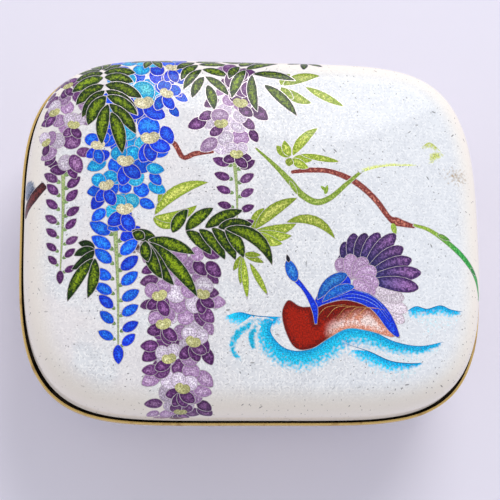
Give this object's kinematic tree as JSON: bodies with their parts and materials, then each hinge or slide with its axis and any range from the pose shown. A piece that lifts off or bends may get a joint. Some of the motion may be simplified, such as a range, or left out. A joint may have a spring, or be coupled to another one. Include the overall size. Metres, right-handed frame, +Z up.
{
  "type": "enamel box",
  "caption": "Rounded-rectangular lidded box of enamelled copper with gilt metal rims, a low domed lift-off lid and a foot ring.",
  "frame": {"origin": "middle of the footprint, on the surface that the box stands on", "axes": "+Z up through the lid, +X along the length, +Y across the width towards the back"},
  "size_m": [0.1222, 0.0982, 0.0467],
  "materials": {
    "lid_enamel": "polished glassy enamel over crinkled silver foil, with coloured flowers, leaves and a water bird between silver wires, and speckled blue-green enamel inside",
    "box_enamel": "polished glassy enamel over crinkled silver foil, with trailing flowers and leaves between silver wires, and speckled blue-green enamel inside",
    "gilt_brass": "worn gilding over brass, with brown tarnish spots and a blackened seat behind the bead",
    "foot_brass": "worn gilding over brass, rubbed and scratched underneath",
    "darkened_brass": "dark brown tarnished brass, satin"
  },
  "bodies": {
    "root": {"box": "box_enamel", "box_rim": "gilt_brass", "foot_rim": "foot_brass", "lid": "lid_enamel", "lid_rim": "darkened_brass"}
  },
  "joints": []
}
